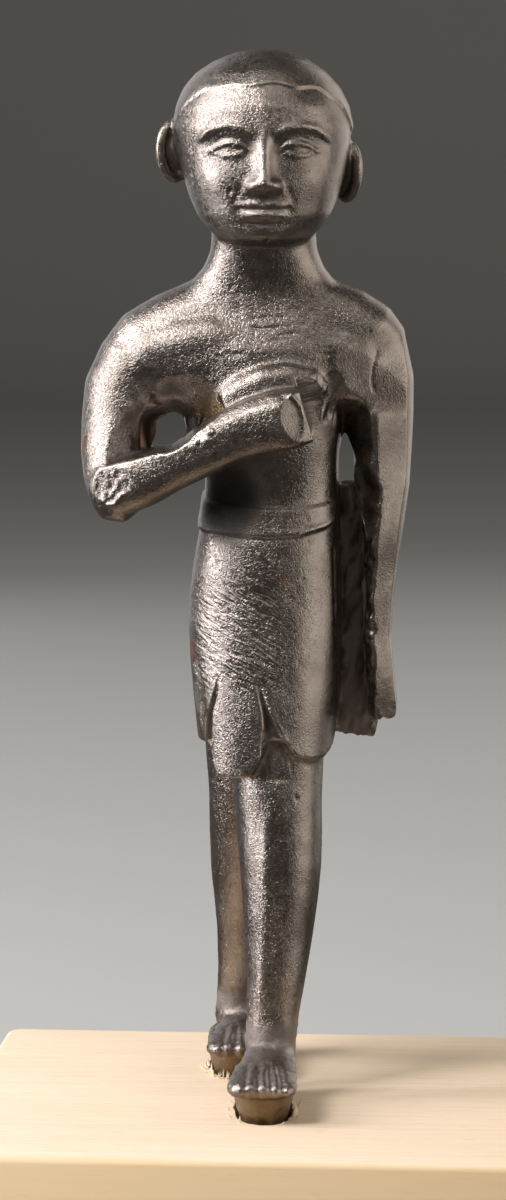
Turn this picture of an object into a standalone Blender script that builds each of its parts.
"""Solids of a small striding man cast in copper alloy and of the wooden block that holds it.

Metres, +Z up, the front towards -Y. The origin is the centre of the block's underside. The figure
is drawn in its own frame, in units of 1/150 of its height: x to the viewer's right, y away from the
viewer, z up from the soles. The figure stands turned a little on the block.
"""

import math

import bmesh
import bpy
import numpy as np
from mathutils import Matrix, Vector

# The figure, from the soles to the crown, and its place on the block
FIGURE_HEIGHT = 0.150
FIGURE_TURN = math.radians(4.5)
FIGURE_SHIFT_Y = 0.006
UNIT = FIGURE_HEIGHT / 150.0

# The two tangs under the feet
TANG_SHOWN = 0.004
TANG_SUNK = 0.010
MORTISE_CLEARANCE = 0.0005
REST_GAP = 0.0003

# The wooden block
BLOCK_WIDTH = 0.087
BLOCK_DEPTH = 0.083
BLOCK_HEIGHT = 0.025
BLOCK_CORNER_RADIUS = 0.0025
BLOCK_EDGE_EASE = 0.0008

# Finishes as colour, roughness and metallic value
BRONZE = ((0.115, 0.098, 0.085), 0.42, 0.9)
PALE_WOOD = ((0.76, 0.60, 0.42), 0.65, 0.0)

# Casting detail
VOXEL = 0.5 * UNIT
SMOOTH_PASSES = 3
FIGURE_FACES = 9000

# Lofts as rows of x, y, z and the two half widths. The last value names the first half width's
# direction, the second one lies across it and across the path.
TORSO = [
    (1.0, 0.6, 74.0, 10.2, 9.0), (1.2, 0.5, 79.0, 10.2, 8.5), (1.3, 0.3, 83.0, 9.9, 7.8),
    (1.5, 0.2, 87.0, 9.9, 7.6), (1.3, 0.2, 90.5, 10.1, 7.9), (0.9, 0.2, 94.5, 11.1, 8.4),
    (0.6, 0.3, 98.5, 12.8, 8.9), (0.3, 0.5, 102.5, 14.4, 9.1), (0.0, 0.8, 106.5, 16.0, 8.8),
    (0.1, 1.2, 109.8, 16.9, 7.8), (0.3, 1.3, 112.3, 15.8, 6.9), (0.3, 1.2, 114.4, 13.0, 6.4),
    (0.3, 1.0, 116.3, 10.4, 6.2), (0.3, 0.8, 118.3, 8.8, 6.3), (0.3, 0.6, 120.8, 7.8, 6.7),
    (0.3, 0.5, 124.0, 7.6, 7.0), (0.3, 0.8, 128.0, 7.0, 6.6),
]
HEAD = [
    (0.3, -4.6, 121.6, 3.6, 3.8), (0.3, -3.6, 122.6, 6.4, 6.9), (0.3, -2.6, 124.2, 8.4, 8.8),
    (0.3, -1.8, 126.2, 9.8, 10.1), (0.3, -0.8, 129.0, 11.0, 11.2), (0.3, 0.0, 132.0, 11.9, 12.0),
    (0.2, 0.7, 135.5, 12.6, 12.7), (0.1, 1.1, 139.0, 13.0, 13.1), (0.0, 1.4, 142.0, 12.5, 12.7),
    (-0.1, 1.6, 144.6, 11.3, 11.6), (-0.2, 1.7, 146.8, 9.4, 9.7), (-0.1, 1.8, 148.6, 6.8, 7.2),
    (0.0, 1.9, 149.7, 4.0, 4.3), (0.1, 1.9, 150.1, 1.4, 1.6),
]
SHOULDERS = [
    (-21.9, 1.0, 103.4, 2.2, 2.4), (-20.3, 1.0, 104.3, 4.6, 4.8), (-17.4, 1.1, 106.0, 6.0, 6.0),
    (-13.0, 1.2, 108.3, 6.3, 6.2), (-7.0, 1.2, 110.6, 6.6, 6.3), (0.3, 1.2, 111.6, 6.6, 6.4),
    (7.0, 1.2, 110.8, 6.6, 6.3), (12.5, 1.2, 108.8, 6.4, 6.3), (15.8, 1.1, 107.0, 6.1, 6.1),
    (18.4, 1.0, 105.4, 4.7, 4.9), (20.0, 1.0, 104.2, 2.4, 2.6),
]
BENT_UPPER_ARM = [
    (-13.5, 1.2, 108.6, 2.4, 2.4), (-15.2, 1.1, 107.0, 5.4, 5.2), (-17.8, 1.0, 103.8, 6.6, 6.4),
    (-19.9, 0.3, 99.6, 6.4, 6.4), (-20.8, -1.0, 95.2, 5.8, 6.0), (-21.2, -2.9, 91.0, 5.4, 5.6),
    (-21.1, -4.9, 87.6, 5.0, 5.0), (-21.2, -6.2, 85.2, 4.2, 4.4), (-21.4, -7.0, 83.0, 3.1, 3.3),
    (-21.6, -7.3, 81.6, 1.8, 1.8),
]
NEAR_ARMPIT = [
    (-18.5, 0.2, 103.8, 5.4, 5.9), (-14.0, 0.0, 104.2, 6.1, 6.3), (-9.0, 0.1, 104.2, 6.8, 6.9),
    (-6.0, 0.2, 104.0, 6.6, 6.8),
]
NEAR_SHOULDER = [
    (-20.0, 0.9, 103.4, 3.8, 4.8), (-16.5, 0.5, 104.8, 5.8, 6.5), (-12.0, 0.3, 106.0, 6.4, 7.1),
    (-7.0, 0.2, 107.0, 6.4, 7.5), (-3.0, 0.2, 107.4, 5.4, 7.4),
]
FAR_ARMPIT = [
    (6.5, 0.3, 104.4, 5.8, 7.4), (11.0, 0.4, 103.8, 6.3, 7.1), (15.0, 0.5, 103.4, 6.0, 6.6),
    (18.0, 0.8, 103.4, 3.6, 4.6),
]
FOREARM = [
    (-23.8, -5.6, 85.0, 2.6, 3.0), (-21.6, -6.4, 86.2, 4.3, 4.4), (-17.5, -7.9, 88.0, 4.4, 4.2),
    (-13.0, -9.1, 90.2, 4.0, 3.9), (-9.0, -10.1, 91.9, 3.8, 3.7), (-4.5, -11.0, 94.2, 3.9, 3.7),
    (-1.0, -11.5, 95.6, 4.2, 3.9), (2.0, -11.9, 96.4, 4.4, 4.0), (5.2, -12.1, 97.0, 4.3, 3.9),
    (7.4, -12.2, 97.4, 3.6, 3.4),
]
HAND_BACK = [
    (-5.4, -7.4, 98.8, 2.0, 2.0), (-3.0, -7.9, 100.2, 2.7, 2.3), (0.3, -8.2, 101.4, 2.9, 2.3),
    (3.8, -8.1, 101.9, 2.8, 2.1), (7.0, -7.5, 101.6, 2.3, 1.7), (9.3, -6.9, 101.0, 1.4, 1.0),
]
HANGING_ARM = [
    (11.5, 1.2, 109.6, 2.4, 2.6), (13.2, 1.2, 108.0, 5.4, 5.6), (15.3, 1.1, 105.0, 6.5, 6.7),
    (16.3, 0.9, 101.0, 6.2, 6.7), (17.2, 0.7, 96.0, 5.2, 6.2), (17.8, 0.5, 91.0, 4.3, 5.8),
    (17.7, 0.2, 86.5, 4.1, 5.4), (17.7, 0.0, 81.5, 3.4, 5.0), (17.6, -0.2, 76.0, 2.7, 4.7),
    (17.3, -0.3, 70.0, 2.2, 4.3), (17.1, -0.4, 64.0, 2.1, 3.9), (17.5, -0.6, 58.5, 2.15, 4.2),
    (17.9, -0.7, 54.0, 2.1, 4.0), (18.0, -0.7, 51.6, 1.9, 3.5),
]
CASTING_WEB = [
    (12.6, 4.2, 48.7, 4.2, 1.5), (12.9, 4.2, 51.0, 4.6, 1.8), (13.2, 4.2, 62.0, 4.6, 1.8),
    (13.5, 4.0, 74.0, 4.8, 1.8), (13.4, 3.8, 82.0, 4.8, 1.9), (13.0, 3.6, 86.2, 4.2, 1.8),
]
FRONT_LEG = [
    (2.2, -2.2, 62.0, 6.9, 6.8), (2.4, -3.2, 52.0, 7.0, 7.1), (2.4, -3.9, 44.0, 6.7, 6.9),
    (2.4, -4.5, 40.5, 6.55, 6.7), (2.65, -5.3, 35.0, 6.25, 6.3), (2.75, -5.9, 30.5, 6.05, 6.3),
    (2.7, -6.4, 25.3, 5.6, 6.1), (2.4, -7.2, 19.5, 5.0, 5.4), (2.0, -8.6, 13.0, 4.25, 4.5),
    (1.65, -9.2, 9.0, 3.9, 3.9), (1.35, -9.5, 5.5, 3.85, 4.0), (1.2, -9.3, 2.5, 3.6, 4.4),
]
REAR_LEG = [
    (-1.5, 2.5, 62.0, 7.3, 7.0), (-2.0, 3.8, 52.0, 6.8, 7.0), (-2.2, 5.0, 44.0, 6.0, 6.8),
    (-2.3, 5.7, 40.0, 5.6, 6.4), (-2.45, 7.3, 33.5, 5.4, 6.1), (-2.6, 8.8, 28.0, 5.1, 5.9),
    (-2.6, 10.2, 23.0, 4.6, 5.5), (-2.7, 12.0, 17.3, 4.05, 4.7), (-2.8, 13.6, 11.5, 3.8, 4.1),
    (-3.0, 14.9, 7.5, 3.8, 3.9), (-3.2, 15.9, 4.0, 4.0, 4.3), (-3.3, 16.2, 2.0, 3.8, 4.5),
]
# The rows of a foot run from the heel to the toes, from the ankle's place
FOOT = [
    (0.1, 6.2, 1.8, 2.0, 1.6), (0.1, 5.2, 2.3, 3.0, 2.3), (0.0, 2.5, 2.5, 3.6, 2.5),
    (-0.2, -2.0, 2.4, 3.8, 2.4), (-0.5, -6.5, 2.1, 4.2, 2.1), (-0.9, -10.5, 1.85, 4.7, 1.85),
    (-1.2, -13.6, 1.6, 5.05, 1.6), (-1.3, -15.8, 1.4, 5.0, 1.4), (-1.3, -16.9, 1.15, 4.4, 1.15),
    (-1.3, -17.6, 1.0, 3.6, 0.8),
]
FRONT_FOOT_PLACE = (1.3, -10.4)
REAR_FOOT_PLACE = (-2.0, 15.9)
# Tangs as x, y and the two half widths in plan
FRONT_TANG = (0.25, -15.6, 3.6, 9.5)
REAR_TANG = (-3.5, 12.4, 3.7, 7.9)
TANG_FLARE = (0.9, 1.4)
TOE_GAPS = (-2.4, -0.6, 1.1, 2.7)
# Flat places cut across the elbow and the fist: a point, the way that the cut faces and its reach
CUTS = [
    ((-22.5, -10.2, 85.4), (-0.42, -0.9, 0.05), 4.8), ((6.4, -12.0, 97.2), (0.96, 0.0, 0.28), 6.0),
    ((4.2, -15.1, 97.4), (0.44, -0.88, 0.16), 5.6),
]
# The front edge of the hanging arm's inner side as height, x and y
INNER_EDGE = [
    (50.0, 14.6, -4.2), (53.0, 15.6, -4.4), (58.0, 16.6, -4.5), (64.0, 16.4, -4.2), (74.0, 16.2, -4.7),
    (78.0, 17.1, -4.9), (84.0, 17.3, -5.0), (91.0, 16.4, -5.3), (98.0, 16.2, -5.9), (102.0, 15.2, -6.1),
    (106.0, 13.4, -6.0), (109.0, 11.6, -5.4),
]
# The hollow round the hole inside the bent arm: its centre in x and z, its depth by the distance
# from there, and the line of the forearm's top that it stays above
HOLE_CENTRE = (-13.2, 95.6)
HOLLOW = [(2.5, -1.0), (4.5, -4.4), (7.5, -6.7), (10.5, -8.8)]
FOREARM_TOP = [
    (-24.0, 91.2), (-21.0, 91.7), (-17.5, 92.0), (-13.0, 92.4), (-11.0, 93.5), (-9.0, 95.6), (-7.0, 98.0),
]

KILT = [
    (1.3, 0.3, 84.2, 9.9, 7.9), (1.25, 0.4, 82.0, 10.1, 8.3), (1.15, 0.5, 79.0, 10.4, 9.0),
    (0.95, 0.7, 75.0, 10.95, 9.7), (0.7, 0.9, 70.5, 11.3, 10.3), (0.55, 0.8, 66.0, 11.45, 10.7),
    (0.6, 0.4, 61.0, 11.25, 11.1), (0.65, 0.0, 55.5, 10.85, 11.5), (0.65, -0.2, 51.0, 10.4, 11.8),
    (0.65, -0.3, 47.0, 10.15, 12.05), (0.65, -0.3, 47.0, 8.0, 9.9), (0.65, -0.3, 50.5, 7.6, 9.4),
]
# The hem's height along x, in front
HEM_FRONT = [
    (-10.0, 48.8), (-8.2, 48.7), (-7.6, 48.0), (-7.2, 45.0), (-6.2, 44.2), (-1.9, 44.2), (-1.0, 45.3),
    (0.0, 47.2), (0.5, 49.2), (3.1, 49.6), (4.0, 48.2), (4.8, 47.4), (6.6, 46.8), (8.3, 46.5), (9.3, 46.6), (10.2, 47.4), (10.9, 48.5),
]
HEM_BACK = 48.8
# Outlines in x and z of the two places between the flaps where the cloth lies deeper
WEDGE = [
    (-0.8, 58.6), (-0.35, 56.2), (0.16, 54.3), (0.45, 51.6), (0.45, 49.2), (0.0, 47.2), (-1.0, 45.3),
    (-1.8, 43.6), (5.2, 43.6), (4.7, 47.3), (3.2, 49.4), (1.6, 52.4), (0.4, 55.6), (-0.4, 58.0),
]
SIDE_SLIT = [
    (-6.4, 58.4), (-6.9, 55.6), (-7.4, 53.6), (-7.6, 50.0), (-7.5, 47.0), (-8.4, 47.0),
    (-8.3, 49.0), (-8.1, 52.8), (-7.5, 54.6), (-6.9, 56.6),
]
BELT = [(-10.0, 79.8, 84.2), (-5.4, 79.5, 83.9), (1.0, 79.1, 83.3), (5.5, 79.3, 83.3), (9.0, 80.2, 83.8),
        (11.5, 81.4, 84.6)]


def smooth_step(low, high, values):
    """Return 0 below low, 1 above high and a soft rise between them."""
    t = np.clip((values - low) / (high - low), 0.0, 1.0)
    return t * t * (3.0 - 2.0 * t)


def inside_distance(points, outline):
    """Return the signed distance of 2-D points to a closed outline, positive inside."""
    corners = np.asarray(outline, dtype=float)
    following = np.roll(corners, -1, axis=0)
    nearest = np.full(len(points), np.inf)
    inside = np.zeros(len(points), dtype=bool)
    for start, end in zip(corners, following):
        edge = end - start
        offset = points - start
        along = np.clip(offset @ edge / (edge @ edge), 0.0, 1.0)
        nearest = np.minimum(nearest, np.linalg.norm(offset - along[:, None] * edge, axis=1))
        crosses = (start[1] > points[:, 1]) != (end[1] > points[:, 1])
        height = edge[1] if edge[1] != 0.0 else 1.0
        inside ^= crosses & (points[:, 0] < start[0] + (points[:, 1] - start[1]) * edge[0] / height)
    return np.where(inside, nearest, -nearest)


def path_distance(points, path):
    """Return the distance of points to an open path."""
    corners = np.asarray(path, dtype=float)
    nearest = np.full(len(points), np.inf)
    for start, end in zip(corners[:-1], corners[1:]):
        edge = end - start
        offset = points - start
        along = np.clip(offset @ edge / (edge @ edge), 0.0, 1.0)
        nearest = np.minimum(nearest, np.linalg.norm(offset - along[:, None] * edge, axis=1))
    return nearest


def add_ring(mesh, centre, first, second, half_first, half_second, squareness, count):
    """Add one closed ring of edges and return its vertices."""
    made = bmesh.ops.create_circle(mesh, cap_ends=False, segments=count, radius=1.0)
    power = 2.0 / squareness
    for vertex in made["verts"]:
        c, s = vertex.co.x, vertex.co.y
        u = math.copysign(abs(c) ** power, c) * half_first
        v = math.copysign(abs(s) ** power, s) * half_second
        vertex.co = centre + first * u + second * v
    return made["verts"]


def ring_edges(vertices):
    """Return the edges that join the vertices of one ring."""
    ring = set(vertices)
    return {edge for vertex in vertices for edge in vertex.link_edges
            if edge.verts[0] in ring and edge.verts[1] in ring}


def add_loft(mesh, rows, across=(1.0, 0.0, 0.0), squareness=2.0, count=28, level=False, bottom=None):
    """Add a closed tube through rows of x, y, z and two half widths.

    Where bottom is given, it returns the heights of the hem, which is the third row from the end
    with the inner edge after it.
    """
    hem = []
    centres = [Vector(row[:3]) for row in rows]
    previous = None
    for index, row in enumerate(rows):
        if level:
            axis = Vector((0.0, 0.0, 1.0 if centres[-1].z > centres[0].z else -1.0))
        else:
            axis = (centres[min(index + 1, len(rows) - 1)] - centres[max(index - 1, 0)]).normalized()
        second = axis.cross(Vector(across)).normalized()
        first = second.cross(axis).normalized()
        ring = add_ring(mesh, centres[index], first, second, row[3], row[4], squareness, count)
        if bottom is not None and index in (len(rows) - 3, len(rows) - 2):
            hem = hem or [bottom(vertex.co) for vertex in ring]
            for vertex, height in zip(ring, hem):
                vertex.co.z = height
        edges = ring_edges(ring)
        if previous is None:
            bmesh.ops.edgeloop_fill(mesh, edges=list(edges))
        else:
            bmesh.ops.bridge_loops(mesh, edges=list(previous | edges))
        previous = edges
    bmesh.ops.edgeloop_fill(mesh, edges=list(previous))


def add_ear(mesh, centre, turn, lean, half_sizes):
    """Add one flat, flaring ear."""
    shape = Matrix.Translation(centre) @ Matrix.Rotation(turn, 4, "Z") @ Matrix.Rotation(lean, 4, "Y")
    bmesh.ops.create_uvsphere(mesh, u_segments=20, v_segments=14, radius=1.0,
                              matrix=shape @ Matrix.Diagonal((*half_sizes, 1.0)))


def hem_height(place):
    """Return the hem's height above the soles at a place on the kilt's outline."""
    front = float(np.interp(place.x, [x for x, _ in HEM_FRONT], [z for _, z in HEM_FRONT]))
    share = min(max((place.y + 4.0) / 4.0, 0.0), 1.0)
    return front * (1.0 - share) + HEM_BACK * share


def tang_rows(tang):
    """Return the rows of a tang from inside the foot down to its end."""
    x, y, half_x, half_y = tang
    shown, end = TANG_SHOWN / UNIT, (TANG_SHOWN + TANG_SUNK) / UNIT
    flare_x, flare_y = TANG_FLARE
    return [(x, y, 1.4, half_x + flare_x, half_y + flare_y),
            (x, y, -0.2 * shown, half_x + flare_x, half_y + flare_y),
            (x, y, -0.65 * shown, half_x + 0.6 * flare_x, half_y + 0.6 * flare_y),
            (x, y, -shown, half_x, half_y), (x, y, -end - 0.6, half_x, half_y)]


def figure_mass():
    """Return an object of the figure's overlapping volumes, in the figure's own units."""
    mesh = bmesh.new()
    add_loft(mesh, TORSO, squareness=2.25, level=True)
    add_loft(mesh, HEAD, squareness=2.1, level=True, count=40)
    add_loft(mesh, SHOULDERS, across=(0.0, 0.0, 1.0))
    add_loft(mesh, BENT_UPPER_ARM)
    upright = (0.0, 0.0, 1.0)
    add_loft(mesh, NEAR_ARMPIT, across=upright)
    add_loft(mesh, NEAR_SHOULDER, across=upright, squareness=2.1)
    add_loft(mesh, FAR_ARMPIT, across=upright, squareness=3.2)
    add_loft(mesh, FOREARM, across=upright, squareness=2.7)
    add_loft(mesh, HAND_BACK, across=upright)
    add_loft(mesh, HANGING_ARM, squareness=2.1)
    add_loft(mesh, CASTING_WEB, squareness=3.0)
    add_loft(mesh, KILT, squareness=2.25, level=True, count=64, bottom=hem_height)
    add_loft(mesh, FRONT_LEG)
    add_loft(mesh, REAR_LEG)
    for place in (FRONT_FOOT_PLACE, REAR_FOOT_PLACE):
        rows = [(x + place[0], y + place[1], z, a, b) for x, y, z, a, b in FOOT]
        add_loft(mesh, rows, squareness=2.7)
    for tang in (FRONT_TANG, REAR_TANG):
        add_loft(mesh, tang_rows(tang), squareness=2.4, level=True, count=36)
    add_ear(mesh, Vector((-13.0, 2.2, 135.2)), math.radians(35), math.radians(-8), (3.0, 1.3, 4.7))
    add_ear(mesh, Vector((12.6, 2.4, 132.2)), math.radians(-50), math.radians(8), (3.0, 1.3, 4.8))
    bmesh.ops.recalc_face_normals(mesh, faces=mesh.faces)
    data = bpy.data.meshes.new("figure_mass")
    mesh.to_mesh(data)
    mesh.free()
    mass = bpy.data.objects.new("figure_mass", data)
    bpy.context.scene.collection.objects.link(mass)
    return mass


def with_modifier(thing, kind, settings):
    """Give an object the mesh that one modifier makes of it."""
    modifier = thing.modifiers.new(kind.title(), kind)
    for name, value in settings.items():
        setattr(modifier, name, value)
    bpy.context.view_layer.update()
    graph = bpy.context.evaluated_depsgraph_get()
    data = bpy.data.meshes.new_from_object(thing.evaluated_get(graph))
    thing.modifiers.clear()
    spent = thing.data
    thing.data = data
    bpy.data.meshes.remove(spent)


def smooth(thing, passes):
    """Soften the joins between the volumes."""
    mesh = bmesh.new()
    mesh.from_mesh(thing.data)
    for _ in range(passes):
        bmesh.ops.smooth_vert(mesh, verts=mesh.verts, factor=0.5, use_axis_x=True, use_axis_y=True,
                              use_axis_z=True)
    mesh.to_mesh(thing.data)
    mesh.free()


def carve_kilt(points, normals):
    """Return how far each point moves along its normal for the belt and the kilt's flaps."""
    x, y, z = points.T
    flat = points[:, [0, 2]]
    facing = smooth_step(0.15, 0.45, -normals[:, 1])
    facing *= smooth_step(44.0, 44.5, z)
    recess = np.clip(0.035 * (x - 2.2) ** 2 - 10.65 - y, 0.0, 1.8)
    move = -recess * facing * smooth_step(-0.15, 0.45, inside_distance(flat, WEDGE))
    move -= 0.9 * facing * smooth_step(-0.15, 0.55, inside_distance(flat, SIDE_SLIT))
    front = smooth_step(2.0, -2.0, y)
    low = front * np.interp(x, [row[0] for row in BELT], [row[1] for row in BELT]) + (1.0 - front) * 81.2
    high = front * np.interp(x, [row[0] for row in BELT], [row[2] for row in BELT]) + (1.0 - front) * 85.2
    near = smooth_step(13.2, 12.0, np.hypot(x - 1.2, y - 0.3))
    band = smooth_step(low - 0.35, low + 0.35, z) * smooth_step(high + 0.35, high - 0.35, z)
    return move + 0.4 * near * band


def carve_head(points, normals):
    """Return how far each point moves along its normal for the cap of hair, the ears and the face."""
    x, y, z = points.T
    angle = np.degrees(np.arctan2(x - 0.3, -(y - 1.5)))
    hairline = np.interp(np.abs(angle), [0.0, 45.0, 62.0, 78.0, 95.0, 120.0, 180.0],
                         [145.0, 144.4, 142.2, 138.5, 138.5, 130.0, 126.5])
    head = smooth_step(121.0, 123.0, z)
    on_skull = smooth_step(14.6, 14.0, np.hypot((x - 0.3) / 1.0, (y - 1.3) / 1.04))
    move = 0.5 * head * on_skull * smooth_step(hairline - 0.3, hairline + 0.3, z)
    front = head * smooth_step(0.25, 0.6, -normals[:, 1])
    side = np.abs(x - 0.3)
    nose = np.interp(z, [128.6, 129.4, 130.4, 133.5, 136.0, 138.5], [0.0, 1.9, 2.1, 1.2, 0.55, 0.0])
    wide = np.interp(z, [128.6, 130.0, 131.2, 133.5, 137.0], [2.3, 2.1, 1.7, 1.2, 1.2])
    move += front * nose * np.exp(-(side / wide) ** 2)
    brow = np.interp(side, [1.5, 3.2, 5.2, 7.4, 9.4], [137.4, 138.4, 138.9, 138.4, 137.0])
    move += front * 0.4 * np.exp(-((z - brow) / 0.7) ** 2) * smooth_step(0.8, 2.2, side) * smooth_step(
        10.0, 8.4, side)
    socket = np.exp(-((side - 4.9) / 3.1) ** 4 - ((z - 135.9) / 1.7) ** 2)
    lid = np.exp(-((side - 4.9) / 2.3) ** 2 - ((z - 135.7) / 1.0) ** 2)
    move += front * (0.75 * lid - 0.6 * socket)
    lips = np.exp(-(side / 3.0) ** 4) * (np.exp(-((z - 126.9) / 0.6) ** 2) + np.exp(-((z - 125.6) / 0.6) ** 2))
    move += front * 0.55 * lips
    move += front * 0.5 * np.exp(-(side / 2.6) ** 2 - ((z - 123.4) / 1.0) ** 2)
    return move


def carve_feet(points, normals):
    """Return how far each point moves along its normal for the gaps between the toes."""
    x, y, z = points.T
    move = np.zeros(len(points))
    for place_x, place_y in (FRONT_FOOT_PLACE, REAR_FOOT_PLACE):
        centre = place_x - 1.25
        for offset in TOE_GAPS:
            lane = np.exp(-((x - centre - offset) / 0.42) ** 2) * smooth_step(0.8, 0.5, np.abs(normals[:, 0]))
            length = smooth_step(place_y - 12.2, place_y - 13.6, y) * smooth_step(-0.4, 0.6, z)
            move -= 0.6 * lane * length * smooth_step(5.0, 4.2, z)
    return move


def carve_arms(points, normals):
    """Return how far each point moves along its normal for the hands."""
    x, y, z = points.T
    flat = points[:, [0, 2]]
    hand = smooth_step(14.0, 15.0, x) * smooth_step(56.0, 54.6, z)
    move = -0.5 * hand * np.exp(-((x - 18.0) / 0.35) ** 2) * smooth_step(-0.2, -0.6, y)
    front = smooth_step(0.2, 0.5, -normals[:, 1]) * smooth_step(-7.0, -8.5, y)
    move -= 0.2 * front * np.exp(-(path_distance(flat, [(-5.4, 96.9), (-1.5, 99.2), (2.6, 99.9)]) / 0.5) ** 2)
    return move


def plane_off(points):
    """Slope the hanging arm's inner side back and hollow the bent arm round its hole, in place."""
    x, y, z = points.T
    heights, edge_x, edge_y = np.asarray(INNER_EDGE).T
    across = np.interp(z, heights, edge_x) - x
    back = np.interp(z, heights, edge_y) + np.where(across > 0.0, 1.45, -0.5) * across
    share = np.where(across > 0.0, smooth_step(99.4, 96.8, z), smooth_step(112.0, 103.0, z))
    share *= smooth_step(11.0, 12.0, x) * smooth_step(49.0, 50.0, z)
    points[:, 1] = np.where(y < back, y + share * (back - y), y)
    away = np.hypot(x - HOLE_CENTRE[0], z - HOLE_CENTRE[1])
    back = np.interp(away, *zip(*HOLLOW))
    line = np.interp(x, *zip(*FOREARM_TOP))
    over = z - line + 0.5 * np.clip(y + 13.3, 0.0, 9.0)
    share = smooth_step(0.0, 0.6, over) * smooth_step(11.2, 10.2, away) * smooth_step(-5.5, -7.5, x)
    proud = z - line + 0.12 * np.clip(y + 13.3, 0.0, 9.0)
    behind = smooth_step(-13.4, -12.4, y) * smooth_step(-19.5, -17.5, x) * smooth_step(-8.5, -10.0, x)
    lower = np.where(proud > 0.0, behind * proud * smooth_step(4.6, 2.4, proud), 0.0)
    points[:, 1] = np.where(y < back, y + share * (back - y), y)
    points[:, 2] = z - lower


def carve(thing):
    """Cut the worked detail into the figure."""
    data = thing.data
    points = np.empty(len(data.vertices) * 3, dtype=np.float32)
    data.vertices.foreach_get("co", points)
    points = points.reshape(-1, 3).astype(float)
    normals = np.empty(len(data.vertices) * 3, dtype=np.float32)
    data.vertices.foreach_get("normal", normals)
    normals = normals.reshape(-1, 3).astype(float)
    move = sum(cut(points, normals) for cut in (carve_kilt, carve_head, carve_feet, carve_arms))
    points += normals * move[:, None]
    for place, facing, reach in CUTS:
        way = np.asarray(facing) / np.linalg.norm(facing)
        proud = (points - np.asarray(place)) @ way
        near = np.linalg.norm(points - np.asarray(place), axis=1) < reach
        points -= np.where(near & (proud > 0.0), proud, 0.0)[:, None] * way
    plane_off(points)
    data.vertices.foreach_set("co", points.astype(np.float32).ravel())
    data.update()


def settle(thing):
    """Bring the crown to the figure's height and end the tangs level."""
    data = thing.data
    points = np.empty(len(data.vertices) * 3, dtype=np.float32)
    data.vertices.foreach_get("co", points)
    points = points.reshape(-1, 3)
    crown = points[:, 2].max()
    above = points[:, 2] > 120.0
    points[above, 2] = 120.0 + (points[above, 2] - 120.0) * 30.0 / (crown - 120.0)
    points[:, 2] = np.maximum(points[:, 2], -(TANG_SHOWN + TANG_SUNK) / UNIT)
    data.vertices.foreach_set("co", points.ravel())
    data.update()


def figure_placement():
    """Return the matrix that stands the figure, in metres, on the block."""
    turn = Matrix.Rotation(FIGURE_TURN, 4, "Z")
    sole = Vector((0.0, 0.0, BLOCK_HEIGHT + TANG_SHOWN))
    return Matrix.Translation(sole + turn @ Vector((0.0, FIGURE_SHIFT_Y, 0.0))) @ turn


def figure_to_row():
    """Return the matrix from the figure's own units to the row's frame."""
    return figure_placement() @ Matrix.Scale(UNIT, 4)


def finish(thing, name, look):
    """Name a piece and give it its material."""
    colour, roughness, metallic = look
    material = bpy.data.materials.new(name)
    material.use_nodes = True
    surface = material.node_tree.nodes["Principled BSDF"]
    surface.inputs["Base Color"].default_value = (*colour, 1.0)
    surface.inputs["Roughness"].default_value = roughness
    surface.inputs["Metallic"].default_value = metallic
    thing.name = name
    thing.data.name = name
    thing.data.materials.clear()
    thing.data.materials.append(material)


def build_figure():
    """Build the casting as one closed solid."""
    figure = figure_mass()
    with_modifier(figure, "REMESH", {"mode": "VOXEL", "voxel_size": VOXEL / UNIT, "adaptivity": 0.0})
    smooth(figure, SMOOTH_PASSES)
    carve(figure)
    smooth(figure, 1)
    settle(figure)
    share = FIGURE_FACES / (2.0 * len(figure.data.polygons))
    with_modifier(figure, "DECIMATE", {"ratio": share, "use_collapse_triangulate": True})
    figure.data.transform(Matrix.Scale(UNIT, 4))
    figure.matrix_world = figure_placement()
    figure.data.shade_smooth()
    figure.data.set_sharp_from_angle(angle=math.radians(40))
    finish(figure, "bronze_figure", BRONZE)


def rounded_outline(width, depth, radius, corner_steps=5):
    """Return the plan outline of a rectangle with round corners."""
    points = []
    for sign_x, sign_y, start in ((1, 1, 0.0), (-1, 1, 90.0), (-1, -1, 180.0), (1, -1, 270.0)):
        for step in range(corner_steps + 1):
            angle = math.radians(start + 90.0 * step / corner_steps)
            points.append((sign_x * (width / 2 - radius) + radius * math.cos(angle),
                           sign_y * (depth / 2 - radius) + radius * math.sin(angle)))
    return points


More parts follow.
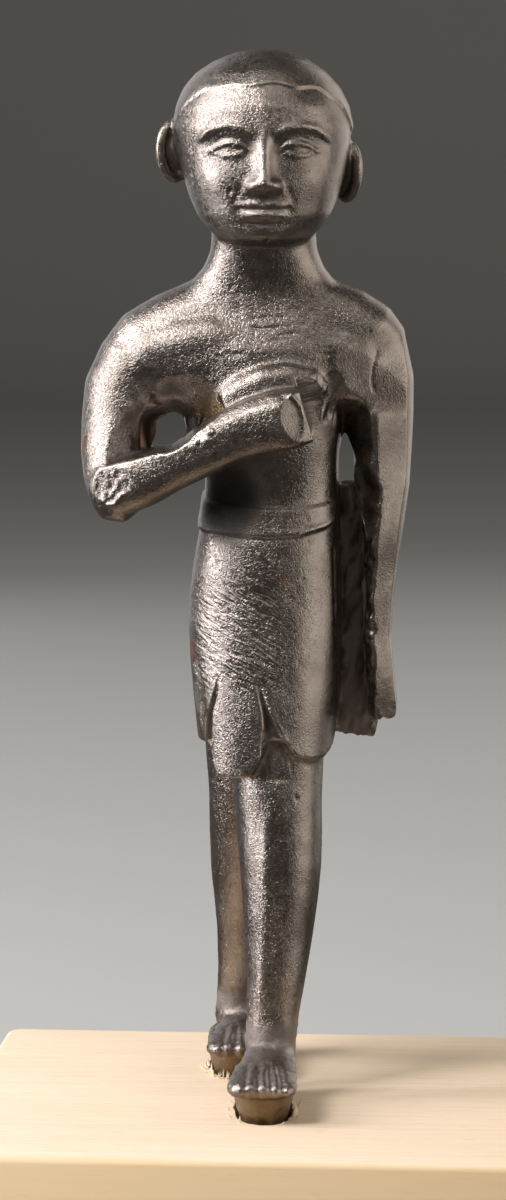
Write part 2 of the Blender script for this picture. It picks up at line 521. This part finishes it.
def prism(name, layers):
    """Build a closed solid through level outlines, each given as its height and its points."""
    mesh = bmesh.new()
    previous = None
    for height, outline in layers:
        ring = [mesh.verts.new((x, y, height)) for x, y in outline]
        if previous is None:
            mesh.faces.new(list(reversed(ring)))
        else:
            for i in range(len(ring)):
                j = (i + 1) % len(ring)
                mesh.faces.new((previous[i], previous[j], ring[j], ring[i]))
        previous = ring
    mesh.faces.new(previous)
    data = bpy.data.meshes.new(name)
    mesh.to_mesh(data)
    mesh.free()
    thing = bpy.data.objects.new(name, data)
    bpy.context.scene.collection.objects.link(thing)
    return thing


def mortise_outline(tang, count=36):
    """Return a mortise's outline in the row's frame, round the tang's sunk part."""
    x, y, half_x, half_y = tang
    to_row = figure_to_row()
    gap = MORTISE_CLEARANCE / UNIT
    points = []
    for index in range(count):
        angle = 2.0 * math.pi * index / count
        c, s = math.cos(angle), math.sin(angle)
        place = to_row @ Vector((x + math.copysign(abs(c) ** (2.0 / 2.4), c) * (half_x + gap),
                                 y + math.copysign(abs(s) ** (2.0 / 2.4), s) * (half_y + gap), 0.0))
        points.append((place.x, place.y))
    return points


def build_block():
    """Build the wooden block with its two mortises."""
    full = rounded_outline(BLOCK_WIDTH, BLOCK_DEPTH, BLOCK_CORNER_RADIUS)
    eased = rounded_outline(BLOCK_WIDTH - 2 * BLOCK_EDGE_EASE, BLOCK_DEPTH - 2 * BLOCK_EDGE_EASE,
                            BLOCK_CORNER_RADIUS - BLOCK_EDGE_EASE)
    block = prism("wooden_block", [(0.0, full), (BLOCK_HEIGHT - BLOCK_EDGE_EASE, full), (BLOCK_HEIGHT, eased)])
    floor = BLOCK_HEIGHT - TANG_SUNK - REST_GAP
    cutters = []
    for tang in (FRONT_TANG, REAR_TANG):
        outline = mortise_outline(tang)
        cutter = prism("mortise", [(floor, outline), (BLOCK_HEIGHT + 0.002, outline)])
        cutters.append(cutter)
        with_modifier(block, "BOOLEAN", {"operation": "DIFFERENCE", "solver": "EXACT", "object": cutter})
    for cutter in cutters:
        bpy.data.objects.remove(cutter, do_unlink=True)
    block.data.set_sharp_from_angle(angle=math.radians(30))
    finish(block, "wooden_block", PALE_WOOD)


def main():
    """Build both pieces in an empty scene."""
    for thing in list(bpy.data.objects):
        bpy.data.objects.remove(thing, do_unlink=True)
    build_figure()
    build_block()


if __name__ == "__main__":
    main()
